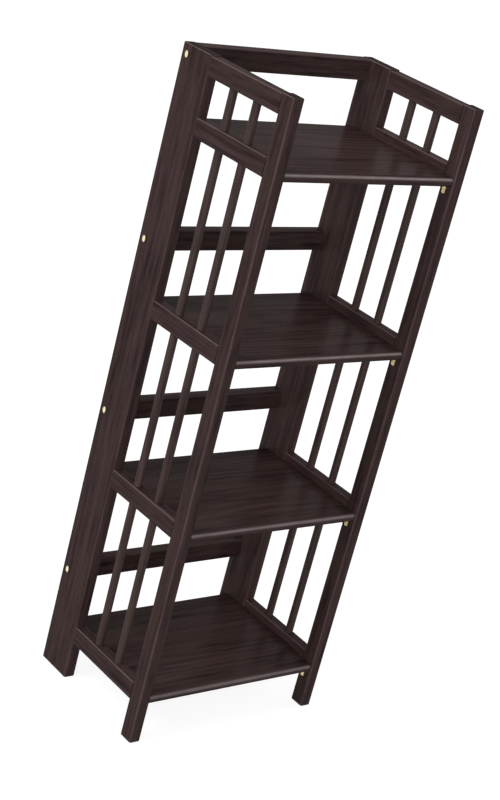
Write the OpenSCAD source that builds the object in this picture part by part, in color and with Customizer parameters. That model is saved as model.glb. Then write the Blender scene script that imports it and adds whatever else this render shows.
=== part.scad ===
// Folding bookstand rack: two slatted side frames joined by four back rails,
// with four shelves that turn up about pins near their rear edge.
// X runs across the rack, Y from front to back, Z up from the floor.

/* [Rack] */
// Height, from the floor to the tops of the uprights
rack_h = 1000; // [960:5:1080]
// Width over the outer faces of the two side frames
rack_w = 358.5; // [300:0.5:450]
// Depth, from the faces of the front posts to the backs of the rear boards
rack_d = 250; // [234:1:275]
// Height of the lowest side rail's top above the floor
bottom_rail_z = 91; // [80:1:120]
// Distance from the tops of the uprights down to the top shelf's side rail
gallery_h = 89; // [75:0.5:110]

/* [Uprights] */
// Thickness of the rear boards and front posts, across the rack
upright_t = 19; // [18:0.5:23]
// Depth of a rear board, front to back
rear_board_d = 66; // [58:1:76]
// Depth of a front post, front to back
front_post_d = 26; // [24:0.5:36]
// Radius of the rounded long edges of the uprights
upright_edge_r = 3; // [1.5:0.5:4]
// Radius of the eased edges of the rails and of the rear edges of the shelves
edge_r = 1.8; // [1:0.1:3]

/* [Side rails] */
// Height of a side rail
rail_h = 28.5; // [26:0.5:36]
// Thickness of a side rail, centred on the uprights
rail_t = 18; // [14:0.5:19]
// Distance of the top side rails below the tops of the uprights
side_rail_drop = 1.5; // [0:0.5:4]

/* [Spindles] */
// Diameter of the round spindles
spindle_d = 12.5; // [9:0.5:13]
// Distance from the front post to the axis of the first spindle
spindle_first = 53.5; // [30:0.5:60]
// Distance between the axes of the two spindles of a bay
spindle_pitch = 53; // [30:0.5:60]
// Depth of the spindle sockets in the rails
spindle_seat = 9; // [6:0.5:12]

/* [Back rails] */
// Height of a back rail
back_rail_h = 32; // [29:0.5:40]
// Thickness of a back rail, flush with the backs of the rear boards
back_rail_t = 19; // [18:0.5:22]
// Distance of the top back rail below the tops of the uprights
back_rail_drop = 0.5; // [0:0.5:4]

/* [Shelves] */
// Thickness of a shelf
shelf_t = 14.5; // [11:0.5:16]
// Depth of a shelf's top face below the top of its side rails
shelf_drop = 14; // [8:0.5:16]
// Distance of a shelf's nose behind the faces of the front posts
shelf_front_gap = 2; // [1:0.5:8]
// Distance of a shelf's rear edge from the backs of the rear boards
shelf_from_back = 19; // [18:0.5:24]
// Gap between a shelf that is turned up and the back rail that it leans towards
shelf_back_gap = 2.5; // [2:0.1:5]
// Gap between each end of a shelf and its side frame
shelf_end_gap = 1; // [0.6:0.1:2]

/* [Shelf pivots] */
// Diameter of the pins that a shelf turns on
pivot_d = 5; // [4:0.5:6]
// Length of a pivot pin inside the shelf
pivot_in_shelf = 16; // [10:1:30]
// Length of a pivot pin inside the rear board
pivot_in_board = 9; // [6:0.5:12]

/* [Shelf rests] */
// Width of the brass rest plate on a front post
rest_w = 6.5; // [6:0.5:11]
// Height of the rest plate
rest_h = 12.5; // [11:0.5:18]
// Radius of the two lower corners of the plate
rest_corner_r = 2; // [1:0.5:3]
// Thickness of the brass sheet
rest_t = 1.2; // [1:0.1:2]
// Length of the tab that carries the shelf
rest_tab_l = 11; // [8:0.5:16]
// Distance from the front of the post to the middle of the rest
rest_from_front = 16; // [12:0.5:18]
// Diameter of the peg behind the rest plate
rest_peg_d = 4.5; // [4:0.5:5.5]
// Length of the peg
rest_peg_l = 9; // [6:0.5:12]

/* [Connector bolts] */
// Diameter of the domed brass bolt head
bolt_head_d = 12.5; // [9:0.5:14]
// Height of the bolt head
bolt_head_h = 1; // [0.8:0.1:3]
// Diameter of the bolt shank
bolt_d = 6; // [5:0.5:6.5]
// Length of the bolt inside the back rail
bolt_reach = 27; // [22:1:40]
// Distance from the back of the rack to the axis of the bolt
bolt_from_back = 13; // [10:0.5:13]
// Height of the axis of the bolt above the middle of the back rail
bolt_rise = 1.5; // [0:0.5:4]
// Diameter of the barrel nut in the back rail
nut_d = 10; // [9:0.5:12]
// Length of the barrel nut
nut_l = 16; // [16:0.5:16.5]
// Distance from the end of the back rail to the axis of the barrel nut
nut_from_end = 20; // [14:1:20]

/* [Dowels] */
// Diameter of the wooden dowels
dowel_d = 6; // [5:0.5:7]
// Length of a dowel in each of the two pieces it joins
dowel_half_l = 11; // [8:0.5:12]
// Distance of each rail dowel above and below the middle of the rail
rail_dowel_offset = 7; // [6:0.5:8]
// Distance of the back rail dowel below the bolt
back_dowel_offset = 9.5; // [8:0.5:10]

/* [Fits] */
// Radial gap round spindles and dowels, where the glue goes
glue_gap = 0.1; // [0.05:0.05:0.2]
// Gap at the end of a spindle, dowel or pin in its blind hole
end_gap = 0.5; // [0.2:0.1:1]
// Radial gap between a pivot pin and its hole in the rear board
pivot_gap = 0.08; // [0.03:0.01:0.1]
// Radial gap of pins and pegs that are driven in
drive_gap = 0.02; // [0.01:0.01:0.05]
// Radial gap round the bolt shank
bolt_gap = 0.3; // [0.1:0.1:0.5]
// Gap between a shelf's underside and the tab that it lies on
rest_gap = 0.2; // [0.1:0.05:0.4]

/* [Hidden] */

$fn = 48;
left = -1;
right = 1;
sides = [left, right];
shelf_levels = [1:4];
rail_levels = [0:4];

// A cutter starts this far outside the face that it enters
over = 1;

front_y = -rack_d / 2;
rear_y = rack_d / 2;
inner_x = rack_w / 2 - upright_t;
upright_x = rack_w / 2 - upright_t / 2;
post_back_y = front_y + front_post_d;
board_front_y = rear_y - rear_board_d;
bay_pitch = (rack_h - gallery_h - bottom_rail_z) / 3;

front_spindle_y = post_back_y + spindle_first;
rear_spindle_y = front_spindle_y + spindle_pitch;
spindle_ys = [front_spindle_y, rear_spindle_y];

shelf_rear_y = rear_y - shelf_from_back;
shelf_nose_y = front_y + shelf_front_gap;
pivot_y = rear_y - back_rail_t - shelf_back_gap - shelf_t / 2;
shelf_end_x = inner_x - shelf_end_gap;
rest_y = front_y + rest_from_front;
bolt_y = rear_y - bolt_from_back;
nut_x = inner_x - nut_from_end;

// Top of a side rail. Level 0 closes the gallery, level N carries shelf N.
function rail_top(level) =
    level == 0 ? rack_h - side_rail_drop : rack_h - gallery_h - (level - 1) * bay_pitch;
function rail_mid(level) = rail_top(level) - rail_h / 2;
function shelf_top(n) = rail_top(n) - shelf_drop;
function shelf_under(n) = shelf_top(n) - shelf_t;
function shelf_mid(n) = shelf_top(n) - shelf_t / 2;
function rest_top(n) = shelf_under(n) - rest_gap;
function peg_z(n) = rest_top(n) - rest_h / 2;
function back_rail_mid(n) = rack_h - back_rail_drop - (n - 1) * bay_pitch - back_rail_h / 2;
function bolt_z(n) = back_rail_mid(n) + bolt_rise;

wood = "#3b292b";
shelf_wood = "#42302f";
brass = "#d8c47a";
bare_wood = "#c9a878";

// Rectangle with four corners rounded by r, centred on the origin
module eased_rect(w, d, r) {
    square([w - 2 * r, d], center = true);
    square([w, d - 2 * r], center = true);
    for (sx = sides, sy = sides)
        translate([sx * (w / 2 - r), sy * (d / 2 - r)])
            circle(r = r);
}

// Round bar along X, from x0 to x1
module bar_x(x0, x1, y, z, r) {
    translate([min(x0, x1), y, z])
        rotate([0, 90, 0])
            cylinder(h = abs(x1 - x0), r = r);
}

// Round bar along Y, from y0 to y1
module bar_y(x, y0, y1, z, r) {
    translate([x, min(y0, y1), z])
        rotate([-90, 0, 0])
            cylinder(h = abs(y1 - y0), r = r);
}

// Round bar along Z, from z0 to z1
module bar_z(x, y, z0, z1, r) {
    translate([x, y, z0])
        cylinder(h = z1 - z0, r = r);
}

// The two dowels of one rail end, where the rail meets an upright at y.
// The same module makes the holes, with a radial gap and a gap at each end.
module rail_end_dowels(side, level, y, gap, end) {
    for (s = sides)
        bar_y(side * upright_x, y - dowel_half_l - end, y + dowel_half_l + end,
              rail_mid(level) + s * rail_dowel_offset, dowel_d / 2 + gap);
}

// The dowel below the bolt at one end of a back rail, or its hole
module back_rail_dowel(side, n, gap, end) {
    bar_x(side * (inner_x - dowel_half_l - end), side * (inner_x + dowel_half_l + end),
          bolt_y, bolt_z(n) - back_dowel_offset, dowel_d / 2 + gap);
}

// Full-height board at the back of a side frame
module rear_board(side) {
    color(wood)
    difference() {
        translate([side * upright_x, rear_y - rear_board_d / 2, 0])
            linear_extrude(rack_h) eased_rect(upright_t, rear_board_d, upright_edge_r);
        for (level = rail_levels)
            rail_end_dowels(side, level, board_front_y, glue_gap, end_gap);
        for (n = shelf_levels) {
            bar_x(side * (inner_x - over), side * (inner_x + pivot_in_board + end_gap),
                  pivot_y, shelf_mid(n), pivot_d / 2 + pivot_gap);
            bar_x(side * (inner_x - over), side * (rack_w / 2 + over),
                  bolt_y, bolt_z(n), bolt_d / 2 + bolt_gap);
            back_rail_dowel(side, n, glue_gap, end_gap);
        }
    }
}

// Narrow full-height post at the front of a side frame
module front_post(side) {
    color(wood)
    difference() {
        translate([side * upright_x, front_y + front_post_d / 2, 0])
            linear_extrude(rack_h) eased_rect(upright_t, front_post_d, upright_edge_r);
        for (level = rail_levels)
            rail_end_dowels(side, level, post_back_y, glue_gap, end_gap);
        for (n = shelf_levels)
            bar_x(side * (inner_x - over), side * (inner_x + rest_peg_l + end_gap),
                  rest_y, peg_z(n), rest_peg_d / 2 + drive_gap);
    }
}

// Rail between the front post and the rear board, with sockets for spindles
module side_rail(side, level) {
    rail_l = board_front_y - post_back_y;
    color(wood)
    difference() {
        translate([side * upright_x, post_back_y, rail_mid(level)])
            rotate([-90, 0, 0])
                linear_extrude(rail_l) eased_rect(rail_t, rail_h, edge_r);
        for (y = spindle_ys) {
            if (level > 0)
                bar_z(side * upright_x, y, rail_top(level) - spindle_seat - end_gap,
                      rail_top(level) + over, spindle_d / 2 + glue_gap);
            if (level < 4)
                bar_z(side * upright_x, y, rail_top(level) - rail_h - over,
                      rail_top(level) - rail_h + spindle_seat + end_gap, spindle_d / 2 + glue_gap);
        }
        rail_end_dowels(side, level, post_back_y, glue_gap, end_gap);
        rail_end_dowels(side, level, board_front_y, glue_gap, end_gap);
    }
}

// Round spindle of one bay, let into the rails above and below it
module spindle(side, bay, y) {
    color(wood)
    bar_z(side * upright_x, y, rail_top(bay) - spindle_seat,
          rail_top(bay - 1) - rail_h + spindle_seat, spindle_d / 2);
}

// Rail across the back, bolted and dowelled between the rear boards
module back_rail(n) {
    color(wood)
    difference() {
        translate([-inner_x, rear_y - back_rail_t / 2, back_rail_mid(n)])
            rotate([0, 90, 0])
                linear_extrude(2 * inner_x) eased_rect(back_rail_h, back_rail_t, edge_r);
        for (side = sides) {
            bar_x(side * (inner_x - bolt_reach - end_gap), side * (inner_x + over),
                  bolt_y, bolt_z(n), bolt_d / 2 + bolt_gap);
            bar_y(side * nut_x, rear_y - nut_l - 2 * end_gap, rear_y + over,
                  bolt_z(n), nut_d / 2 + glue_gap);
            back_rail_dowel(side, n, glue_gap, end_gap);
        }
    }
}

// Shelf board with a round nose and a square rear edge with eased arrises
module shelf(n) {
    color(shelf_wood)
    difference() {
        translate([-shelf_end_x, 0, shelf_mid(n)])
            rotate([0, 90, 0])
                linear_extrude(2 * shelf_end_x) {
                    translate([0, shelf_nose_y + shelf_t / 2]) circle(d = shelf_t);
                    translate([-shelf_t / 2, shelf_nose_y + shelf_t / 2])
                        square([shelf_t, shelf_rear_y - edge_r - shelf_nose_y - shelf_t / 2]);
                    translate([-shelf_t / 2 + edge_r, shelf_rear_y - 2 * edge_r])
                        square([shelf_t - 2 * edge_r, 2 * edge_r]);
                    for (s = sides)
                        translate([s * (shelf_t / 2 - edge_r), shelf_rear_y - edge_r])
                            circle(r = edge_r);
                }
        for (side = sides)
            bar_x(side * (shelf_end_x - pivot_in_shelf - end_gap), side * (shelf_end_x + over),
                  pivot_y, shelf_mid(n), pivot_d / 2 + drive_gap);
    }
}

// The two pins that a shelf turns on, driven into its ends
module pivot_pins(n) {
    color(brass)
    for (side = sides)
        bar_x(side * (shelf_end_x - pivot_in_shelf), side * (inner_x + pivot_in_board),
              pivot_y, shelf_mid(n), pivot_d / 2);
}

// Bent brass rests on the two front posts: a plate with round lower corners,
// a tab that carries the shelf, and a peg in the post
module shelf_rests(n) {
    plate_x = inner_x - rest_t;
    color(brass)
    for (side = sides)
        difference() {
            union() {
                translate([side * (inner_x - rest_t / 2), rest_y, rest_top(n)])
                    rotate([0, 90, 0])
                        linear_extrude(rest_t, center = true) {
                            translate([0, -rest_w / 2]) square([rest_h - rest_corner_r, rest_w]);
                            translate([0, -rest_w / 2 + rest_corner_r])
                                square([rest_h, rest_w - 2 * rest_corner_r]);
                            for (s = sides)
                                translate([rest_h - rest_corner_r, s * (rest_w / 2 - rest_corner_r)])
                                    circle(r = rest_corner_r);
                        }
                translate([side * (inner_x - rest_tab_l / 2), rest_y, rest_top(n) - rest_t / 2])
                    cube([rest_tab_l, rest_w, rest_t], center = true);
                bar_x(side * (inner_x - rest_t / 2), side * (inner_x + rest_peg_l),
                      rest_y, peg_z(n), rest_peg_d / 2);
            }
            bar_x(side * (plate_x - over), side * (plate_x + rest_t / 3),
                  rest_y, peg_z(n), rest_peg_d / 4);
        }
}

// Brass bolts through the rear boards into the ends of the back rails
module connector_bolts() {
    dome_r = (pow(bolt_head_d / 2, 2) + pow(bolt_head_h, 2)) / (2 * bolt_head_h);
    color(brass)
    for (side = sides, n = shelf_levels)
        translate([side * rack_w / 2, bolt_y, bolt_z(n)])
            rotate([0, side * 90, 0])
                union() {
                    intersection() {
                        cylinder(h = bolt_head_h, d = bolt_head_d);
                        translate([0, 0, bolt_head_h - dome_r]) sphere(r = dome_r);
                    }
                    translate([0, 0, -upright_t - bolt_reach])
                        cylinder(h = upright_t + bolt_reach + bolt_head_h / 2, d = bolt_d);
                }
}

// Barrel nuts in the back rails, one across each bolt
module barrel_nuts() {
    color(brass)
    for (side = sides, n = shelf_levels)
        difference() {
            bar_y(side * nut_x, rear_y - nut_l - end_gap, rear_y - end_gap,
                  bolt_z(n), nut_d / 2);
            bar_x(side * (nut_x - nut_d), side * (nut_x + nut_d),
                  bolt_y, bolt_z(n), bolt_d / 2 + drive_gap);
        }
}

// Dowels that stop the back rails from turning on their bolts
module back_rail_dowels() {
    color(bare_wood)
    for (side = sides, n = shelf_levels)
        back_rail_dowel(side, n, 0, 0);
}

// Glued dowels between the side rails and their uprights
module rail_dowels(side) {
    color(bare_wood)
    for (level = rail_levels, y = [post_back_y, board_front_y])
        rail_end_dowels(side, level, y, 0, 0);
}

rear_board(left);  // left_rear_board
rear_board(right);  // right_rear_board
front_post(left);  // left_front_post
front_post(right);  // right_front_post
side_rail(left, 0);  // left_rail_1
side_rail(left, 1);  // left_rail_2
side_rail(left, 2);  // left_rail_3
side_rail(left, 3);  // left_rail_4
side_rail(left, 4);  // left_rail_5
side_rail(right, 0);  // right_rail_1
side_rail(right, 1);  // right_rail_2
side_rail(right, 2);  // right_rail_3
side_rail(right, 3);  // right_rail_4
side_rail(right, 4);  // right_rail_5
spindle(left, 1, front_spindle_y);  // left_spindle_1_front
spindle(left, 1, rear_spindle_y);  // left_spindle_1_rear
spindle(left, 2, front_spindle_y);  // left_spindle_2_front
spindle(left, 2, rear_spindle_y);  // left_spindle_2_rear
spindle(left, 3, front_spindle_y);  // left_spindle_3_front
spindle(left, 3, rear_spindle_y);  // left_spindle_3_rear
spindle(left, 4, front_spindle_y);  // left_spindle_4_front
spindle(left, 4, rear_spindle_y);  // left_spindle_4_rear
spindle(right, 1, front_spindle_y);  // right_spindle_1_front
spindle(right, 1, rear_spindle_y);  // right_spindle_1_rear
spindle(right, 2, front_spindle_y);  // right_spindle_2_front
spindle(right, 2, rear_spindle_y);  // right_spindle_2_rear
spindle(right, 3, front_spindle_y);  // right_spindle_3_front
spindle(right, 3, rear_spindle_y);  // right_spindle_3_rear
spindle(right, 4, front_spindle_y);  // right_spindle_4_front
spindle(right, 4, rear_spindle_y);  // right_spindle_4_rear
back_rail(1);  // back_rail_1
back_rail(2);  // back_rail_2
back_rail(3);  // back_rail_3
back_rail(4);  // back_rail_4
shelf(1);  // shelf_1
shelf(2);  // shelf_2
shelf(3);  // shelf_3
shelf(4);  // shelf_4
pivot_pins(1);  // shelf_1_pivot_pins
pivot_pins(2);  // shelf_2_pivot_pins
pivot_pins(3);  // shelf_3_pivot_pins
pivot_pins(4);  // shelf_4_pivot_pins
shelf_rests(1);  // shelf_1_rests
shelf_rests(2);  // shelf_2_rests
shelf_rests(3);  // shelf_3_rests
shelf_rests(4);  // shelf_4_rests
connector_bolts();
barrel_nuts();
back_rail_dowels();
rail_dowels(left);  // left_rail_dowels
rail_dowels(right);  // right_rail_dowels
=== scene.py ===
"""Folding bookstand rack: dark stained wood and brass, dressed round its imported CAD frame."""

import math

import bmesh
import bpy
from mathutils import Matrix, Vector


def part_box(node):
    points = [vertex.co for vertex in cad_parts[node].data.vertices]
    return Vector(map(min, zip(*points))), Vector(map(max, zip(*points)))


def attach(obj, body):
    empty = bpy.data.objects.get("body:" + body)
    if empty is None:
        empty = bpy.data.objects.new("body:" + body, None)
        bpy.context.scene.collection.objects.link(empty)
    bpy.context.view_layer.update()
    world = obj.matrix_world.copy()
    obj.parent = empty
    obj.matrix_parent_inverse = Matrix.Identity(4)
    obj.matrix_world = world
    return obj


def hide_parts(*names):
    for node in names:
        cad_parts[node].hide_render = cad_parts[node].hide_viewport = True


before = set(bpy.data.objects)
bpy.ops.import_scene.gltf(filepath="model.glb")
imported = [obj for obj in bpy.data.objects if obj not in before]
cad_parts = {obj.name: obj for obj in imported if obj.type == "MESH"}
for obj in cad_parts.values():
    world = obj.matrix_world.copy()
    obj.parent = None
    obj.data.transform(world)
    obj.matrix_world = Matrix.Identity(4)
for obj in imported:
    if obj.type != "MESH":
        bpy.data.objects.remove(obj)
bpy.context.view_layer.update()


# Camera. It stands at the left of the rack and above it, turned about its own
# axis, so that the rack leans to the right in the picture.

MM = 0.001
CAMERA_AT = Vector((-1.76606, -1.87378, 1.50304))
LOOK = Vector((0.63842, 0.67809, -0.36416))
PICTURE_RIGHT = Vector((0.76764, -0.59546, 0.23699))
LENS_MM = 83.03
SENSOR_MM = 36


def new_object(name, data):
    """A new object in the scene."""
    obj = bpy.data.objects.new(name, data)
    bpy.context.scene.collection.objects.link(obj)
    return obj


back = -LOOK.normalized()
right = (PICTURE_RIGHT - PICTURE_RIGHT.dot(back) * back).normalized()
up = back.cross(right)
optics = bpy.data.cameras.new("camera")
optics.lens = LENS_MM
optics.sensor_width = SENSOR_MM
camera = new_object("camera", optics)
turned = Matrix((right, up, back)).transposed().to_4x4()
camera.matrix_world = Matrix.Translation(CAMERA_AT) @ turned
bpy.context.scene.camera = camera


# Rear boards. The two tall boards at the back of the side frames, planed from
# rubberwood, stained espresso and sprayed with satin lacquer. They are bored
# for the dowels of the side rails, the bolts and the pivot pins of the shelves.

UPRIGHT_ARRIS = 3 * MM
UPRIGHT_END_ARRIS = 1.2 * MM
ARRIS_STEPS = 4
END_STEPS = 3
GLUE_GAP = 0.1 * MM
END_GAP = 0.5 * MM
DOWEL_HOLE_R = 3 * MM + GLUE_GAP
DOWEL_HOLE_DEEP = 11 * MM + END_GAP
RAIL_DOWEL_OFFSET = 7 * MM
BOLT_RISE = 1.5 * MM
BACK_DOWEL_DROP = 9.5 * MM - BOLT_RISE
BOLT_HOLE_R = 3.3 * MM
PIVOT_HOLE_R = 2.58 * MM
PIVOT_HOLE_DEEP = 9.5 * MM
HOLE_SIDES = 24
WOOD_SHARP = 38
# The side rails, and the shelves, their bays and the back rails, are numbered from the top.
RAILS = range(1, 6)
SHELVES = range(1, 5)
# The two directions across each axis, then the one along it.
AXES = {"x": (1, 2, 0), "y": (0, 2, 1), "z": (0, 1, 2)}
# Two pieces that are next to each other in number come from parts of the tree
# this many millimetres apart.
TREE_STEP = 1730
# A face counts as end grain where it looks along the grain at least this much.
END_FACE = 0.8
# Noise seldom leaves this range.
NOISE_RANGE = {"From Min": 0.3, "From Max": 0.7}


def place(axis, along, u, v):
    """A point from its place along an axis and its two places across it."""
    point = [0, 0, 0]
    for k, value in zip(AXES[axis], (u, v, along)):
        point[k] = value
    return Vector(point)


def circle(axis, along, u, v, radius, sides, start=0):
    """Points round a circle that lies across an axis."""
    turn = [2 * math.pi * (k + start) / sides for k in range(sides)]
    return [place(axis, along, u + radius * math.cos(t), v + radius * math.sin(t)) for t in turn]


def skin(bm, rings):
    """A closed shell through rings of points, with a flat face at each end."""
    loops = [[bm.verts.new(p) for p in ring] for ring in rings]
    for a, b in zip(loops, loops[1:]):
        for i in range(len(a)):
            j = (i + 1) % len(a)
            bm.faces.new((a[i], a[j], b[j], b[i]))
    bm.faces.new(loops[0])
    bm.faces.new(loops[-1])


def new_piece(name, bm):
    """An object with the faces of bm."""
    mesh = bpy.data.meshes.new(name)
    bm.to_mesh(mesh)
    bm.free()
    return new_object(name, mesh)


def loft(name, rings):
    """A closed piece through rings of points."""
    bm = bmesh.new()
    skin(bm, rings)
    bmesh.ops.recalc_face_normals(bm, faces=bm.faces)
    return new_piece(name, bm)


def eased_ends(low, high, ease):
    """Stations along a bar, each with how far its section is drawn in there."""
    if not ease:
        return [(low, 0), (high, 0)]
    turn = [k / END_STEPS * math.pi / 2 for k in range(END_STEPS + 1)]
    start = [(low + ease * (1 - math.cos(t)), ease * (1 - math.sin(t))) for t in turn]
    return start + [(low + high - at, inset) for at, inset in reversed(start)]


def board(name, node, axis, arris, end_arris=0):
    """A board that fills the box of a CAD node, with eased arrises along it."""
    low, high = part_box(node)
    iu, iv, il = AXES[axis]
    mid = (low + high) / 2
    hu, hv = (high[iu] - low[iu]) / 2, (high[iv] - low[iv]) / 2
    rings = []
    for along, inset in eased_ends(low[il], high[il], end_arris):
        ring = []
        for quarter, (su, sv) in enumerate(((1, 1), (-1, 1), (-1, -1), (1, -1))):
            for k in range(ARRIS_STEPS + 1):
                t = (quarter + k / ARRIS_STEPS) * math.pi / 2
                u = su * (hu - arris) + (arris - inset) * math.cos(t)
                v = sv * (hv - arris) + (arris - inset) * math.sin(t)
                ring.append(place(axis, along, mid[iu] + u, mid[iv] + v))
        rings.append(ring)
    return loft(name, rings)


def apply_modifiers(piece):
    """Puts what the modifiers make into the mesh of the piece."""
    bpy.context.view_layer.update()
    shaped = piece.evaluated_get(bpy.context.evaluated_depsgraph_get())
    made = bpy.data.meshes.new_from_object(shaped)
    made.name = piece.name
    piece.modifiers.clear()
    piece.data = made


def hole(axis, u, v, face, inward, deep, radius, lip=0):
    """A round hole that enters a face and goes inward, +1 or -1, along an axis. A lip
    opens its mouth at 45 degrees."""
    start = face - inward * MM
    rings = [(start, radius)]
    if lip:
        rings = [(start, radius + lip + MM), (face + inward * lip, radius)]
    return axis, u, v, rings + [(face + inward * deep, radius)]


def bore(piece, holes, sides=HOLE_SIDES):
    """Cuts holes, each an axis, two places across it, and rings: place along, radius."""
    bm = bmesh.new()
    for axis, u, v, rings in holes:
        skin(bm, [circle(axis, along, u, v, radius, sides, 0.5) for along, radius in rings])
    bmesh.ops.recalc_face_normals(bm, faces=bm.faces)
    drill = new_piece("drill", bm)
    cut = piece.modifiers.new("bore", "BOOLEAN")
    cut.operation, cut.solver, cut.object = "DIFFERENCE", "EXACT", drill
    apply_modifiers(piece)
    bpy.data.objects.remove(drill)


def smooth(piece, angle):
    """Smooth faces that meet at less than the angle, with the flat faces left flat."""
    for polygon in piece.data.polygons:
        polygon.use_smooth = True
    piece.data.set_sharp_from_angle(angle=math.radians(angle))
    even = piece.modifiers.new("even", "WEIGHTED_NORMAL")
    even.keep_sharp = True
    apply_modifiers(piece)


def linear(colour):
    """An sRGB hex colour as linear RGBA."""
    parts = [int(colour[i:i + 2], 16) / 255 for i in (1, 3, 5)]
    return [p / 12.92 if p <= 0.04045 else ((p + 0.055) / 1.055) ** 2.4 for p in parts] + [1]


def add_node(tree, kind, inputs=(), **settings):
    """Adds a node with its settings, and sets or links its inputs."""
    node = tree.nodes.new("ShaderNode" + kind)
    for key, value in settings.items():
        setattr(node, key, value)
    for key, value in dict(inputs).items():
        if isinstance(value, bpy.types.NodeSocket):
            tree.links.new(value, node.inputs[key])
        else:
            node.inputs[key].default_value = value
    return node


def new_material(name):
    """An empty node material with its output node."""
    made = bpy.data.materials.new(name)
    made.use_nodes = True
    made.node_tree.nodes.clear()
    return made, made.node_tree, add_node(made.node_tree, "OutputMaterial")


def stained_wood(name, dark, light, warm, arris, ring_mm, streak_mm, figure, gloss, sheen):
    """Stained wood under lacquer. The "grain" attribute holds each piece's own
    millimetres: X along the grain, Y and Z across it, measured from the heart of the
    tree. Rings are ring_mm wide, and the streaks of its vessels about streak_mm long."""
    made, tree, output = new_material(name)
    grain = add_node(tree, "Attribute", attribute_name="grain").outputs["Vector"]

    def stretched(long_mm, wide_mm, detail):
        """Noise as long along the grain, and as wide across it, as these say."""
        scale = (1 / long_mm, 1 / wide_mm, 1 / wide_mm)
        scaled = add_node(tree, "VectorMath", {0: grain, 1: scale}, operation="MULTIPLY")
        return add_node(tree, "TexNoise", {"Vector": scaled.outputs[0], "Scale": 1,
                                           "Detail": detail, "Roughness": 0.55})

    # The growth rings wander by a few millimetres over a hand's breadth.
    wander = stretched(4 * streak_mm, 70, 1)
    centred = add_node(tree, "VectorMath", {0: wander.outputs["Color"], 1: (0.5, 0.5, 0.5)},
                       operation="SUBTRACT")
    shift = add_node(tree, "VectorMath", {0: centred.outputs[0], 1: (0, 26, 26)},
                     operation="MULTIPLY")
    bent = add_node(tree, "VectorMath", {0: grain, 1: shift.outputs[0]}, operation="ADD")
    across = add_node(tree, "VectorMath", {0: bent.outputs[0], 1: (0, 1, 1)},
                      operation="MULTIPLY")
    radius = add_node(tree, "VectorMath", {0: across.outputs[0]}, operation="LENGTH")
    turns = add_node(tree, "Math", {0: radius.outputs["Value"], 1: 2 * math.pi / ring_mm},
                     operation="MULTIPLY")
    rings = add_node(tree, "Math", {0: turns.outputs[0]}, operation="SINE")

    # Vessels 0.3 mm wide are drawn 1 to 1.5 mm wide, so that they show as streaks.
    streaks = stretched(streak_mm, 1.5, 4)
    bands = stretched(210, 9, 3)
    pores = stretched(17, 0.9, 2)

    ring_part = add_node(tree, "Math", {0: rings.outputs[0], 1: 0.5 * figure},
                         operation="MULTIPLY")
    streak_part = add_node(tree, "MapRange", {"Value": streaks.outputs["Fac"], **NOISE_RANGE,
                                              "To Min": -0.5, "To Max": 0.5})
    band_part = add_node(tree, "MapRange", {"Value": bands.outputs["Fac"], **NOISE_RANGE,
                                            "To Min": 0.15, "To Max": 0.85})
    fine = add_node(tree, "Math", {0: streak_part.outputs[0], 1: 0.6, 2: band_part.outputs[0]},
                    operation="MULTIPLY_ADD")
    tone = add_node(tree, "Math", {0: fine.outputs[0], 1: ring_part.outputs[0]},
                    operation="ADD", use_clamp=True)
    stain = add_node(tree, "Mix", {"Factor": tone.outputs[0], "A": linear(dark),
                                   "B": linear(light)}, data_type="RGBA")
    patches = stretched(1.4 * streak_mm, 14, 2)
    patch = add_node(tree, "MapRange", {"Value": patches.outputs["Fac"], "From Min": 0.42,
                                        "From Max": 0.62, "To Min": 0, "To Max": 0.7})
    toned = add_node(tree, "Mix", {"Factor": patch.outputs[0], "A": stain.outputs["Result"],
                                   "B": linear(warm)}, data_type="RGBA")
    pore = add_node(tree, "MapRange", {"Value": pores.outputs["Fac"], "From Min": 0.56,
                                       "From Max": 0.7, "To Min": 0, "To Max": 0.45})
    filled = add_node(tree, "Mix", {"Factor": pore.outputs[0], "A": toned.outputs["Result"],
                                    "B": linear(dark)}, data_type="RGBA")

    # Sanding leaves the stain thin along the arrises, and end grain drinks more of it. The pale
    # arris colour is also a painted highlight along the arrises.
    rub_and_highlight_mask = add_node(tree, "Attribute", attribute_name="arris").outputs["Fac"]
    patchy_noise = stretched(35, 8, 3)
    uneven = add_node(tree, "MapRange", {"Value": patchy_noise.outputs["Fac"], **NOISE_RANGE,
                                         "To Min": 0.58, "To Max": 0.86})
    thin_stain_and_highlight = add_node(tree, "Math", {0: rub_and_highlight_mask, 1: uneven.outputs[0]}, operation="MULTIPLY")
    edged_and_highlit = add_node(tree, "Mix", {"Factor": thin_stain_and_highlight.outputs[0], "A": filled.outputs["Result"],
                                   "B": linear(arris)}, data_type="RGBA")
    end = add_node(tree, "Attribute", attribute_name="end_grain").outputs["Fac"]
    ended = add_node(tree, "Math", {0: end, 1: 0.85}, operation="MULTIPLY")
    colour = add_node(tree, "Mix", {"Factor": ended.outputs[0], "A": edged_and_highlit.outputs["Result"],
                                    "B": linear(dark)}, data_type="RGBA")

    matt = add_node(tree, "MapRange", {"Value": streaks.outputs["Fac"], **NOISE_RANGE,
                                       "To Min": gloss - 0.05, "To Max": gloss + 0.07})
    relief = add_node(tree, "Math", {0: streaks.outputs["Fac"], 1: pore.outputs[0]},
                      operation="SUBTRACT")
    bump = add_node(tree, "Bump", {"Height": relief.outputs[0], "Strength": 0.35,
                                   "Distance": 0.06 * MM})
    wood = add_node(tree, "BsdfPrincipled", {
        "Base Color": colour.outputs["Result"], "Roughness": matt.outputs[0],
        "Normal": bump.outputs[0], "IOR": 1.5, "Specular IOR Level": 0.0,
        "Coat Weight": sheen, "Coat Roughness": 0.26, "Coat IOR": 1.5})
    tree.links.new(wood.outputs[0], output.inputs["Surface"])
    return made


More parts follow.
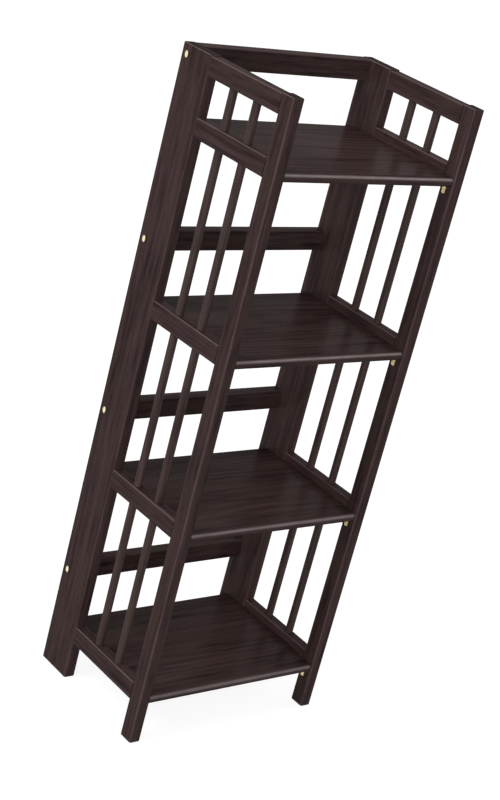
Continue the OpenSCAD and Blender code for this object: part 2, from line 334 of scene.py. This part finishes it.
def grain_of(piece, axis, box, arris, end_arris, heart, number, wear_and_highlight, lean):
    """Stores each point's place in the tree, in millimetres, how far the arrises are
    lightened, which is rubbed stain and a painted highlight, and the end grain. A lean
    above 1 puts the lightened line on the wider face's side of an arris."""
    low, high = box
    iu, iv, il = AXES[axis]
    mid = (low + high) / 2
    full = math.sqrt((1 + lean) * (1 + 1 / lean) ** lean)
    mesh = piece.data
    for name, kind, domain in (("grain", "FLOAT_VECTOR", "POINT"), ("arris", "FLOAT", "POINT"),
                               ("end_grain", "FLOAT", "FACE")):
        mesh.attributes.new(name, kind, domain)
    grain, rub_and_highlight_mask, end = (mesh.attributes[name] for name in ("grain", "arris", "end_grain"))
    for k, vertex in enumerate(mesh.vertices):
        p = vertex.co
        offset = (p - mid) / MM
        grain.data[k].vector = (offset[il] + TREE_STEP * number, offset[iu] + heart[0],
                                offset[iv] + heart[1])
        inside = [min(p[i] - low[i], high[i] - p[i]) for i in (iu, iv, il)]
        highlight_wear_u = wear_and_highlight[0 if p[iu] < mid[iu] else 1]
        highlight_wear_v = wear_and_highlight[2 if p[iv] < mid[iv] else 3]
        share = 0
        for a, b, r, rub_and_highlight_share in ((0, 1, arris, highlight_wear_u * highlight_wear_v), (0, 2, end_arris, highlight_wear_u),
                              (1, 2, end_arris, highlight_wear_v)):
            if r and inside[a] < r and inside[b] < r:
                line = (1 - inside[a] / r) ** lean * (1 - inside[b] / r)
                share = max(share, full * rub_and_highlight_share * line)
        rub_and_highlight_mask.data[k].value = min(1, share)
    for k, polygon in enumerate(mesh.polygons):
        end.data[k].value = 1.0 if abs(polygon.normal[il]) > END_FACE else 0.0


def finish_wood(piece, node, axis, material, heart, number, body="frame", arris=0,
                end_arris=0, wear_and_highlight=(1, 1, 1, 1), lean=1, ends=None):
    """Grain, smooth arrises, material and place in the frame of one wooden piece. The
    heart of its tree lies that many millimetres beside it. The four wear numbers say
    how far the arrises at the low and high side of each direction across it are lightened: rubbed
    stain and painted highlight."""
    smooth(piece, WOOD_SHARP)
    grain_of(piece, axis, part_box(node), arris, end_arris, heart, number, wear_and_highlight, lean)
    piece.data.materials.append(material)
    if ends:
        piece.data.materials.append(ends)
        for polygon, mark in zip(piece.data.polygons, piece.data.attributes["end_grain"].data):
            polygon.material_index = 1 if mark.value > 0.5 else 0
    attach(piece, body)
    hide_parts(node)


# Planing and satin lacquer show a very dark brown with soft streaks along the
# grain, and a low sheen that lets them through.
# Its pale arris colour is thinned stain and a painted highlight along the arrises.
frame_wood = stained_wood("rubberwood_planed_espresso_stain", dark="#211717",
                          light="#4e3b3d", warm="#41342f", arris="#8c7776", ring_mm=11,
                          streak_mm=48, figure=0.22, gloss=0.42, sheen=0.09)
# The sawn ends drink the stain and the lacquer, and stay dark and dull.
end_wood = stained_wood("rubberwood_sawn_end_espresso_stain", dark="#2a1f1f",
                        light="#4b3c3c", warm="#413531", arris="#8c7776", ring_mm=11,
                        streak_mm=48, figure=0.3, gloss=0.6, sheen=0.05)


def middle(node, axis):
    """The middle of a node's box along x, y or z."""
    low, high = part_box(node)
    return (getattr(low, axis) + getattr(high, axis)) / 2


RAIL_MID = [middle(f"left_rail_{k}", "z") for k in RAILS]
BACK_RAIL_MID = [middle(f"back_rail_{k}", "z") for k in SHELVES]
BOLT_Z = [z + BOLT_RISE for z in BACK_RAIL_MID]
SHELF_MID = [middle(f"shelf_{k}", "z") for k in SHELVES]
BOLT_Y = middle("connector_bolts", "y")
PIVOT_Y = middle("shelf_1_pivot_pins", "y")
INNER_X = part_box("back_rail_1")[1].x
OUTER_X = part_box("right_rear_board")[1].x
UPRIGHT_X = (INNER_X + OUTER_X) / 2


def rail_dowel_holes(side, heights, face_y, inward):
    """Holes for the two dowels at one end of each side rail at these heights."""
    return [hole("y", side * UPRIGHT_X, z + s * RAIL_DOWEL_OFFSET, face_y, inward,
                 DOWEL_HOLE_DEEP, DOWEL_HOLE_R) for z in heights for s in (-1, 1)]


for number, (name, side) in enumerate((("left", -1), ("right", 1))):
    node = f"{name}_rear_board"
    piece = board(f"{node}_dressed", node, "z", UPRIGHT_ARRIS, UPRIGHT_END_ARRIS)
    holes = rail_dowel_holes(side, RAIL_MID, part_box(node)[0].y, 1)
    inner = side * INNER_X
    for z in SHELF_MID:
        holes.append(hole("x", PIVOT_Y, z, inner, side, PIVOT_HOLE_DEEP, PIVOT_HOLE_R))
    for z in BACK_RAIL_MID:
        holes.append(hole("x", BOLT_Y, z + BOLT_RISE, inner, side, OUTER_X - INNER_X + MM,
                          BOLT_HOLE_R))
        holes.append(hole("x", BOLT_Y, z - BACK_DOWEL_DROP, inner, side, DOWEL_HOLE_DEEP,
                          DOWEL_HOLE_R))
    bore(piece, holes)
    # The arrises on the -X side, toward the main lamp, are lightened most, those at the front and
    # back little: painted highlight, with rubbed stain.
    finish_wood(piece, node, "z", frame_wood, heart=(34 - 50 * number, 12),
                number=number, arris=UPRIGHT_ARRIS, end_arris=UPRIGHT_END_ARRIS,
                wear_and_highlight=(1.3, 1, 0.1, 0.05), lean=3, ends=end_wood)


# Front posts. Narrow uprights of the same wood at the front of the side
# frames. Their backs take the dowels of the rails, and their inner faces the
# pegs of the shelf rests.

PEG_HOLE_R = 2.27 * MM
PEG_HOLE_DEEP = 9.5 * MM
REST_Y = middle("shelf_1_rests", "y")
PEG_Z = [middle(f"shelf_{k}_rests", "z") for k in SHELVES]

for number, (name, side) in enumerate((("left", -1), ("right", 1))):
    node = f"{name}_front_post"
    piece = board(f"{node}_dressed", node, "z", UPRIGHT_ARRIS, UPRIGHT_END_ARRIS)
    holes = rail_dowel_holes(side, RAIL_MID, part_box(node)[1].y, -1)
    for z in PEG_Z:
        holes.append(hole("x", REST_Y, z, side * INNER_X, side, PEG_HOLE_DEEP, PEG_HOLE_R))
    bore(piece, holes)
    # The arrises on the -X side, toward the main lamp, are lightened most, those at the front and
    # back little: painted highlight, with rubbed stain.
    finish_wood(piece, node, "z", frame_wood, heart=(22 + 9 * number, -31),
                number=4 + number, arris=UPRIGHT_ARRIS, end_arris=UPRIGHT_END_ARRIS,
                wear_and_highlight=(1.4, 1, 0.18, 0.1), lean=3, ends=end_wood)


# Side rails. Five rails on each side, cut square and dowelled between the front
# post and the rear board. Each is bored for the spindles that stand on it and
# hang from it, with the mouths of the sockets lightly countersunk.

RAIL_ARRIS = 1.8 * MM
SPINDLE_R = 6.25 * MM
SOCKET_R = SPINDLE_R + GLUE_GAP
SOCKET_DEEP = 9.5 * MM
SOCKET_LIP = 0.4 * MM
SOCKET_SIDES = 32
SPINDLE_Y = [middle(f"left_spindle_1_{row}", "y") for row in ("front", "rear")]

for side_number, (name, side) in enumerate((("left", -1), ("right", 1))):
    for level in RAILS:
        node = f"{name}_rail_{level}"
        low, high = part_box(node)
        piece = board(f"{node}_dressed", node, "y", RAIL_ARRIS)
        holes = []
        for y in SPINDLE_Y:
            if level > RAILS[0]:
                holes.append(hole("z", side * UPRIGHT_X, y, high.z, -1, SOCKET_DEEP, SOCKET_R,
                                  SOCKET_LIP))
            if level < RAILS[-1]:
                holes.append(hole("z", side * UPRIGHT_X, y, low.z, 1, SOCKET_DEEP, SOCKET_R,
                                  SOCKET_LIP))
        for face_y, inward in ((low.y, 1), (high.y, -1)):
            holes += rail_dowel_holes(side, [RAIL_MID[level - 1]], face_y, inward)
        bore(piece, holes, SOCKET_SIDES)
        # The top arrises are lightened far more than the lower ones, and more on the left frame
        # than on the shaded right one: painted highlight, with rubbed stain.
        finish_wood(piece, node, "y", frame_wood,
                    heart=(26 - 11 * (level % 3), 19 + 6 * (level % 4)),
                    number=10 + 5 * side_number + level, arris=RAIL_ARRIS,
                    wear_and_highlight=(1, 1, 0.1, 0.55 if side < 0 else 0.4))


# Spindles. Sixteen straight dowels of the same wood, moulded round, chamfered
# at the ends and glued into the sockets of the rails.

SPINDLE_CHAMFER = 0.8 * MM
SPINDLE_SIDES = 48

# Moulding closes the grain, so they take less stain, and look a little lighter
# and greyer than the boards.
spindle_wood = stained_wood("rubberwood_moulded_espresso_stain", dark="#2b201f",
                            light="#50403e", warm="#483b37", arris="#8c7776", ring_mm=6,
                            streak_mm=48, figure=0.2, gloss=0.4, sheen=0.2)


def chamfered(low, high, radius, chamfer):
    """Stations of a round bar with both ends chamfered."""
    return [(low, radius - chamfer), (low + chamfer, radius), (high - chamfer, radius),
            (high, radius - chamfer)]


def round_bar(name, axis, u, v, stations, sides, side=1):
    """A round bar through stations: place along the axis, radius. A side of -1 mirrors it."""
    return loft(name, [circle(axis, side * at, u, v, r, sides) for at, r in stations])


for side_number, name in enumerate(("left", "right")):
    for bay in SHELVES:
        for row_number, row in enumerate(("front", "rear")):
            node = f"{name}_spindle_{bay}_{row}"
            low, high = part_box(node)
            mid = (low + high) / 2
            stations = chamfered(low.z, high.z, SPINDLE_R, SPINDLE_CHAMFER)
            piece = round_bar(f"{node}_dressed", "z", mid.x, mid.y, stations, SPINDLE_SIDES)
            finish_wood(piece, node, "z", spindle_wood,
                        heart=(18 + 3 * bay, 14 - 5 * row_number + 4 * side_number),
                        number=30 + 8 * side_number + 2 * bay + row_number)


# Back rails. Four rails across the back, flush with the backs of the rear
# boards. A bolt and a dowel run into each end, and the barrel nut of the bolt
# sits in a hole from the back.

BACK_ARRIS = 1.8 * MM
BOLT_REACH = 27.5 * MM
NUT_R = 5 * MM
NUT_HOLE_DEEP = 17 * MM
NUT_LIP = 0.5 * MM
NUT_X = INNER_X - 20 * MM

for level in SHELVES:
    node = f"back_rail_{level}"
    z = BACK_RAIL_MID[level - 1]
    piece = board(f"{node}_dressed", node, "x", BACK_ARRIS)
    holes = []
    for side in (-1, 1):
        end = side * INNER_X
        holes.append(hole("x", BOLT_Y, z + BOLT_RISE, end, -side, BOLT_REACH, BOLT_HOLE_R))
        holes.append(hole("x", BOLT_Y, z - BACK_DOWEL_DROP, end, -side, DOWEL_HOLE_DEEP,
                          DOWEL_HOLE_R))
        holes.append(hole("y", side * NUT_X, z + BOLT_RISE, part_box(node)[1].y, -1,
                          NUT_HOLE_DEEP, NUT_R + GLUE_GAP, NUT_LIP))
    bore(piece, holes, SOCKET_SIDES)
    # The top arrises are lightened more than the lower ones: painted highlight, with rubbed stain.
    finish_wood(piece, node, "x", frame_wood,
                heart=(24 - 17 * (level % 2), 13 + 5 * level), number=50 + level,
                arris=BACK_ARRIS, wear_and_highlight=(1, 1, 0.1, 0.25))


# Dowels. Plain beech pegs, cut from rod and glued across the joints, where the
# wood around covers them.

FLECK_SCALE = (900, 60, 900)

# Bare cut beech is pale and dry, with flecks about 1 mm wide and 17 mm long.
bare_beech, tree, output = new_material("beech_bare_cut")
spread = add_node(tree, "VectorMath", {0: add_node(tree, "TexCoord").outputs["Object"],
                                       1: FLECK_SCALE}, operation="MULTIPLY")
flecks = add_node(tree, "TexNoise", {"Vector": spread.outputs[0], "Scale": 1, "Detail": 3})
pale = add_node(tree, "Mix", {"Factor": flecks.outputs["Fac"], "A": linear("#b98f62"),
                              "B": linear("#dcbf94")}, data_type="RGBA")
dry = add_node(tree, "BsdfPrincipled", {"Base Color": pale.outputs["Result"],
                                        "Roughness": 0.7})
tree.links.new(dry.outputs[0], output.inputs["Surface"])

for node in ("back_rail_dowels", "left_rail_dowels", "right_rail_dowels"):
    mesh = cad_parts[node].data
    mesh.materials.clear()
    mesh.materials.append(bare_beech)


# Connector bolts. Eight brass-plated bolts hold the back rails between the rear
# boards. Their low domed heads lie on the outer faces.

BOLT_R = 3 * MM
BOLT_TIP = 0.8 * MM
BOLT_LONG = 27 * MM
BOLT_SIDES = 40
HEAD_R = 6.25 * MM
HEAD_HIGH = 1 * MM
HEAD_RIM = 0.3 * MM
HEAD_EASE = 0.4 * MM
CROWN_R = 5.6 * MM
CROWN_LOW = 0.5 * MM
CROWN_RINGS = 13
CROWN_FLAT = 0.4
# The oval of each bolt head left bright, its soft edge, and the dark olive of the painted shade
# round it.
UNSHADED_Y = 3.2 * MM
UNSHADED_Z = 4.9 * MM
UNSHADED_INSIDE = 0.9
RIM_SHADE_FADE = 0.2
BRASS_SHARP = 32
MARK_SCALE = 2600
CLOUD_SCALE = 420
RIM_SHADE_COLOUR = "#31280f"


def brass(name, tint, tarnish, roughness, scratch_mm):
    """Brass with fine marks left by its making, as long as scratch_mm and 0.4 mm wide, as
    coarse as they need to be to show. Where the "dull" attribute is 1 the colour is
    painted dark olive: painted shade."""
    made, tree, output = new_material(name)
    place_in = add_node(tree, "TexCoord").outputs["Object"]
    scaled = add_node(tree, "VectorMath", {
        0: place_in, 1: (1 / (scratch_mm * MM), MARK_SCALE, MARK_SCALE)}, operation="MULTIPLY")
    marks = add_node(tree, "TexNoise", {"Vector": scaled.outputs[0], "Scale": 1, "Detail": 2})
    clouds = add_node(tree, "TexNoise", {"Vector": place_in, "Scale": CLOUD_SCALE,
                                         "Detail": 3})
    dulled = add_node(tree, "MapRange", {"Value": clouds.outputs["Fac"], "From Min": 0.4,
                                         "From Max": 0.75, "To Min": 0, "To Max": 0.5})
    bright = add_node(tree, "Mix", {"Factor": dulled.outputs[0], "A": linear(tint),
                                    "B": linear(tarnish)}, data_type="RGBA")
    # Painted shade: where the attribute is 1, the colour turns dark olive.
    rim_shade_mask = add_node(tree, "Attribute", attribute_name="painted_rim_shade").outputs["Fac"]
    colour = add_node(tree, "Mix", {"Factor": rim_shade_mask, "A": bright.outputs["Result"],
                                    "B": linear(RIM_SHADE_COLOUR)}, data_type="RGBA")
    rough = add_node(tree, "MapRange", {"Value": marks.outputs["Fac"], **NOISE_RANGE,
                                        "To Min": roughness - 0.06, "To Max": roughness + 0.08})
    bump = add_node(tree, "Bump", {"Height": marks.outputs["Fac"], "Strength": 0.15,
                                   "Distance": 0.02 * MM})
    metal = add_node(tree, "BsdfPrincipled", {
        "Base Color": colour.outputs["Result"], "Metallic": 1, "Roughness": rough.outputs[0],
        "Normal": bump.outputs[0]})
    tree.links.new(metal.outputs[0], output.inputs["Surface"])
    return made


def join(name, parts):
    """Several solids as one piece."""
    bm = bmesh.new()
    for part in parts:
        bm.from_mesh(part.data)
        bpy.data.objects.remove(part)
    return new_piece(name, bm)


def finish_brass(piece, node, material, body="frame"):
    """Smooth shading, material and place in the frame of one group of brass pieces."""
    smooth(piece, BRASS_SHARP)
    piece.data.materials.append(material)
    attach(piece, body)
    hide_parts(node)


# Plating is bright and pale gold. Round the rim of each bolt head the colour is
# painted dark olive: painted shade.
plated_brass = brass("brass_plated_bright", tint="#eee3c2", tarnish="#dccb9c",
                     roughness=0.24, scratch_mm=3)
dome_r = (CROWN_R ** 2 + (HEAD_HIGH - CROWN_LOW) ** 2) / (2 * (HEAD_HIGH - CROWN_LOW))
tip = INNER_X - BOLT_LONG
bolt = [(tip, BOLT_R - BOLT_TIP), (tip + BOLT_TIP, BOLT_R), (OUTER_X, BOLT_R),
        (OUTER_X, HEAD_R), (OUTER_X + HEAD_RIM, HEAD_R), (OUTER_X + CROWN_LOW, HEAD_R - HEAD_EASE)]
for k in range(CROWN_RINGS):
    r = CROWN_R * (1 - k / (CROWN_RINGS - CROWN_FLAT))
    bolt.append((OUTER_X + HEAD_HIGH - dome_r + math.sqrt(dome_r ** 2 - r ** 2), r))
piece = join("brass_bolts", [round_bar("bolt", "x", BOLT_Y, z, bolt, BOLT_SIDES, side)
                             for side in (-1, 1) for z in BOLT_Z])
finish_brass(piece, "connector_bolts", plated_brass)
# Each head keeps its bright colour in an oval round its middle, the shape of its highlight, and is
# painted dark round it with a soft edge: painted shade.
painted_rim_shade = piece.data.attributes.new("painted_rim_shade", "FLOAT", "POINT")
for k, vertex in enumerate(piece.data.vertices):
    off = min(math.hypot((vertex.co.y - BOLT_Y) / UNSHADED_Y, (vertex.co.z - z) / UNSHADED_Z)
              for z in BOLT_Z)
    painted_rim_shade.data[k].value = min(1, max(0, (off - UNSHADED_INSIDE) / RIM_SHADE_FADE))


# Barrel nuts. Eight turned nuts, one across each bolt, with a screwdriver slot
# in the end that shows at the back.

NUT_LOW = 0.5 * MM
NUT_LONG = 16.5 * MM
NUT_CHAMFER = 0.6 * MM
NUT_SIDES = 36
THREAD_R = BOLT_R + 0.02 * MM
SLOT_R = 0.8 * MM

# Turning leaves short fine marks and a warm, softer shine.
turned_brass = brass("brass_turned", tint="#dcc587", tarnish="#b99a58", roughness=0.3,
                     scratch_mm=1)
back_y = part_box("back_rail_1")[1].y
nuts = []
for side in (-1, 1):
    for z in BOLT_Z:
        stations = chamfered(back_y - NUT_LONG, back_y - NUT_LOW, NUT_R, NUT_CHAMFER)
        nut = round_bar("nut", "y", side * NUT_X, z, stations, NUT_SIDES)
        bore(nut, [("x", y, z, [(side * NUT_X + s * 2 * NUT_R, r) for s in (-1, 1)])
                   for y, r in ((BOLT_Y, THREAD_R), (back_y - NUT_LOW, SLOT_R))])
        nuts.append(nut)
piece = join("brass_barrel_nuts", nuts)
finish_brass(piece, "barrel_nuts", turned_brass)


# Shelf rests. Two bent strips of brass for each shelf, pegged to the inner
# faces of the front posts: the bent tab carries the shelf, and the plate hangs
# down the post to two round corners.

REST_THICK = 1.2 * MM
REST_WIDE = 6.5 * MM
REST_HIGH = 12.5 * MM
REST_CORNER = 2 * MM
REST_TAB = 11 * MM
REST_BEND = 1.6 * MM
REST_EDGE = 0.25 * MM
EDGE_THICK = 0.65
TAB_CORNER = 1.2 * MM
TAB_STEPS = 6
BEND_STEPS = 8
PLATE_STEPS = 14
CORNER_STEPS = 8
STRIP_POINTS = 17
PEG_R = 2.25 * MM
PEG_LONG = 9 * MM
PEG_SUNK = 0.3 * MM
PEG_CHAMFER = 0.6 * MM
PEG_SIDES = 24
DIMPLE_R = 1.4 * MM
DIMPLE_DEEP = 0.5 * MM

# Pressing leaves the strip's brass duller and darker than the plated heads,
# with longer marks.
pressed_brass = brass("brass_pressed_strip", tint="#d6c893", tarnish="#b8a670",
                      roughness=0.36, scratch_mm=6)


def rest_strip(side, top):
    """The strip from the tip of its tab, round the bend and down to the lower end of its
    plate, where a dimple marks the peg."""
    face = INNER_X - REST_THICK / 2
    line, half = [], []
    tab_flat = REST_TAB - REST_THICK / 2 - REST_BEND
    for k in range(TAB_STEPS + 1):
        t = k / TAB_STEPS
        line.append((INNER_X - REST_TAB + t * tab_flat, top - REST_THICK / 2))
        corner = max(0, 1 - t * tab_flat / TAB_CORNER)
        half.append(REST_WIDE / 2 - TAB_CORNER * (1 - math.sqrt(1 - corner ** 2)))
    bend_z = top - REST_THICK / 2 - REST_BEND
    for k in range(1, BEND_STEPS):
        t = k / BEND_STEPS * math.pi / 2
        line.append((face - REST_BEND + REST_BEND * math.sin(t), bend_z + REST_BEND * math.cos(t)))
        half.append(REST_WIDE / 2)
    corner_z = top - REST_HIGH + REST_CORNER
    for k in range(PLATE_STEPS + 1):
        line.append((face, bend_z + (corner_z - bend_z) * k / PLATE_STEPS))
        half.append(REST_WIDE / 2)
    for k in range(1, CORNER_STEPS + 1):
        t = k / CORNER_STEPS * math.pi / 2
        line.append((face, corner_z - REST_CORNER * math.sin(t)))
        half.append(REST_WIDE / 2 - REST_CORNER * (1 - math.cos(t)))
    rings = []
    for k, ((x, z), wide) in enumerate(zip(line, half)):
        before, after = line[max(0, k - 1)], line[min(len(line) - 1, k + 1)]
        along = Vector((after[0] - before[0], after[1] - before[1])).normalized()
        out = Vector((-along.y, along.x)) * REST_THICK / 2
        front, rear = [], []
        for j in range(STRIP_POINTS):
            s = -1 + 2 * j / (STRIP_POINTS - 1)
            y = REST_Y + wide * s
            drawn = min(1, wide * (1 - abs(s)) / REST_EDGE)
            thick = math.sqrt(max(0, 1 - (1 - drawn) ** 2)) * (1 - EDGE_THICK) + EDGE_THICK
            from_peg = math.hypot(y - REST_Y, z - (top - REST_HIGH / 2))
            dent = DIMPLE_DEEP * max(0, 1 - (from_peg / DIMPLE_R) ** 2) if x == face else 0
            front.append(Vector((side * (x - out.x * thick + dent), y, z - out.y * thick)))
            rear.append(Vector((side * (x + out.x * thick), y, z + out.y * thick)))
        rings.append(front + rear[::-1])
    return loft("strip", rings)


peg = [(INNER_X - PEG_SUNK, PEG_R), (INNER_X + PEG_LONG - PEG_CHAMFER, PEG_R),
       (INNER_X + PEG_LONG, PEG_R - PEG_CHAMFER)]
for level in SHELVES:
    node = f"shelf_{level}_rests"
    parts = []
    for side in (-1, 1):
        parts.append(rest_strip(side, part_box(node)[1].z))
        parts.append(round_bar("peg", "x", REST_Y, PEG_Z[level - 1], peg, PEG_SIDES, side))
    piece = join(f"shelf_{level}_brass_rests", parts)
    finish_brass(piece, node, pressed_brass)


# Shelves. Boards 14.5 mm thick with a dark veneer that wraps round the nose,
# its grain along the shelf. Each turns on two pins near its rear edge.

SHELF_END_ARRIS = 0.5 * MM
NOSE_STEPS = 30
REAR_ARRIS = 1.8 * MM
REAR_STEPS = 4
PIN_HOLE_R = 2.52 * MM
PIN_HOLE_DEEP = 16.5 * MM
# A light band runs along the upper front of the nose: stain thinned by sanding, and a
# painted highlight. It is painted fainter on the lower shelves, a painted shade. From the
# top shelf down: how strong the band is, and its middle and spread, in degrees round
# the nose.
NOSE_BAND_PAINTED = ((0.82, 54, 10), (0.75, 51.5, 10.5), (0.6, 52.5, 12), (0.48, 56, 13.5))

# Lacquered ash veneer shows long straight streaks, closer together than the
# frame's, and a little more gloss.
# Its pale arris colour is the light band on the nose: thinned stain and painted highlight.
shelf_wood = stained_wood("ash_veneer_espresso_lacquered", dark="#271b1b", light="#4a3939",
                          warm="#423431", arris="#ad9fa0", ring_mm=7, streak_mm=85,
                          figure=0.35, gloss=0.34, sheen=0.09)

for level in SHELVES:
    node = f"shelf_{level}"
    low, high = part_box(node)
    z = SHELF_MID[level - 1]
    r = (high.z - low.z) / 2
    rings = []
    for along, inset in eased_ends(low.x, high.x, SHELF_END_ARRIS):
        ring = []
        for k in range(NOSE_STEPS + 1):
            t = math.pi * (0.5 + k / NOSE_STEPS)
            ring.append(Vector((along, low.y + r + (r - inset) * math.cos(t),
                                z + (r - inset) * math.sin(t))))
        for s, quarter in ((-1, 3), (1, 0)):
            for k in range(REAR_STEPS + 1):
                t = math.pi / 2 * (quarter + k / REAR_STEPS)
                ring.append(Vector((
                    along, high.y - REAR_ARRIS + (REAR_ARRIS - inset) * math.cos(t),
                    z + s * (r - REAR_ARRIS) + (REAR_ARRIS - inset) * math.sin(t))))
        rings.append(ring)
    piece = loft(f"{node}_dressed", rings)
    bore(piece, [hole("x", PIVOT_Y, z, side * high.x, -side, PIN_HOLE_DEEP, PIN_HOLE_R)
                 for side in (-1, 1)])
    finish_wood(piece, node, "x", shelf_wood,
                heart=(-30 + 55 * (level % 2), 70 + 9 * level), number=60 + level,
                body=f"flap_{level}")
    # Paints the light band on the nose in the shelf's arris colour: thinned stain and painted
    # highlight.
    band_strength, band_middle, band_spread = NOSE_BAND_PAINTED[level - 1]
    for vertex, mark in zip(piece.data.vertices, piece.data.attributes["arris"].data):
        ahead = low.y + r - vertex.co.y
        if ahead > 0:
            turn = math.degrees(math.atan2(ahead, vertex.co.z - z))
            mark.value = band_strength * math.exp(-0.5 * ((turn - band_middle) / band_spread) ** 2)


# Pivot pins. Plain turned pins of the same brass as the nuts, driven into the
# ends of the shelves. They turn in the rear boards.

PIN_R = 2.5 * MM
PIN_CHAMFER = 0.5 * MM
PIN_SIDES = 28

for level in SHELVES:
    node = f"shelf_{level}_pivot_pins"
    start_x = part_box(f"shelf_{level}")[1].x - PIN_HOLE_DEEP + END_GAP
    stations = chamfered(start_x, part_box(node)[1].x, PIN_R, PIN_CHAMFER)
    piece = join(f"shelf_{level}_brass_pins",
                 [round_bar("pin", "x", PIVOT_Y, SHELF_MID[level - 1], stations, PIN_SIDES, side)
                  for side in (-1, 1)])
    finish_brass(piece, node, turned_brass, body=f"flap_{level}")


# Floor, backdrop and lamps. A pale studio: the floor keeps a soft shadow, and
# everything beyond it is white. The lamps light every side at a plain level.

FLOOR_SIZE = 30
FLOOR_DROP = 0.1 * MM
FLOOR_GLOW = 0.87
SKY_LIGHT = 0.36
RACK_MIDDLE = Vector((0, 0, 0.5))
LAMP_AWAY = 9
LAMP_WIDE = 3.6
LAMPS = (("lamp_left", (-0.75, 0.1, 0.65), 352), ("lamp_low", (-0.64, -0.7, 0.1), 368),
         ("lamp_front", (-0.15, -0.7, 0.7), 84), ("lamp_right", (0.638, -0.15, 0.755), 62),
         ("lamp_back", (0, 1, 0.12), 240), ("lamp_far_side", (1, 0.2, 0.1), 200))


def seen_rays(tree):
    """1 for a ray that shows a thing, straight or in gloss or glass, and 0 for one that
    lights it."""
    rays = add_node(tree, "LightPath").outputs
    gloss = add_node(tree, "Math", {0: rays["Is Camera Ray"], 1: rays["Is Glossy Ray"]},
                     operation="MAXIMUM")
    seen = add_node(tree, "Math", {0: gloss.outputs[0], 1: rays["Is Transmission Ray"]},
                    operation="MAXIMUM")
    return seen.outputs[0]


# Matt white paint, drawn grey and lifted to white where it is seen, so that it
# throws little light up at the rack.
floor_paint, tree, output = new_material("floor_matt_white_paint")
lift = add_node(tree, "Math", {0: seen_rays(tree), 1: FLOOR_GLOW}, operation="MULTIPLY")
paint = add_node(tree, "BsdfDiffuse", {"Color": linear("#8c8c8c")})
glow = add_node(tree, "Emission", {"Color": linear("#ffffff"), "Strength": lift.outputs[0]})
both = add_node(tree, "AddShader", {0: paint.outputs[0], 1: glow.outputs[0]})
tree.links.new(both.outputs[0], output.inputs["Surface"])

bm = bmesh.new()
bmesh.ops.create_grid(bm, x_segments=8, y_segments=8, size=FLOOR_SIZE)
floor = new_piece("floor", bm)
floor.location.z = -FLOOR_DROP
floor.data.materials.append(floor_paint)

world = bpy.data.worlds.new("studio")
world.use_nodes = True
tree = world.node_tree
tree.nodes.clear()
strength = add_node(tree, "MapRange", {"Value": seen_rays(tree), "To Min": SKY_LIGHT,
                                       "To Max": 1})
sky = add_node(tree, "Background", {"Color": linear("#ffffff"),
                                    "Strength": strength.outputs[0]})
tree.links.new(sky.outputs[0], add_node(tree, "OutputWorld").inputs["Surface"])
bpy.context.scene.world = world

for name, towards, power in LAMPS:
    light = bpy.data.lights.new(name, "AREA")
    light.shape, light.size, light.energy = "SQUARE", LAMP_WIDE, power
    lamp = new_object(name, light)
    direction = Vector(towards).normalized()
    lamp.location = RACK_MIDDLE + direction * LAMP_AWAY
    lamp.rotation_euler = direction.to_track_quat("Z", "Y").to_euler()

bpy.context.scene.view_settings.view_transform = "Standard"
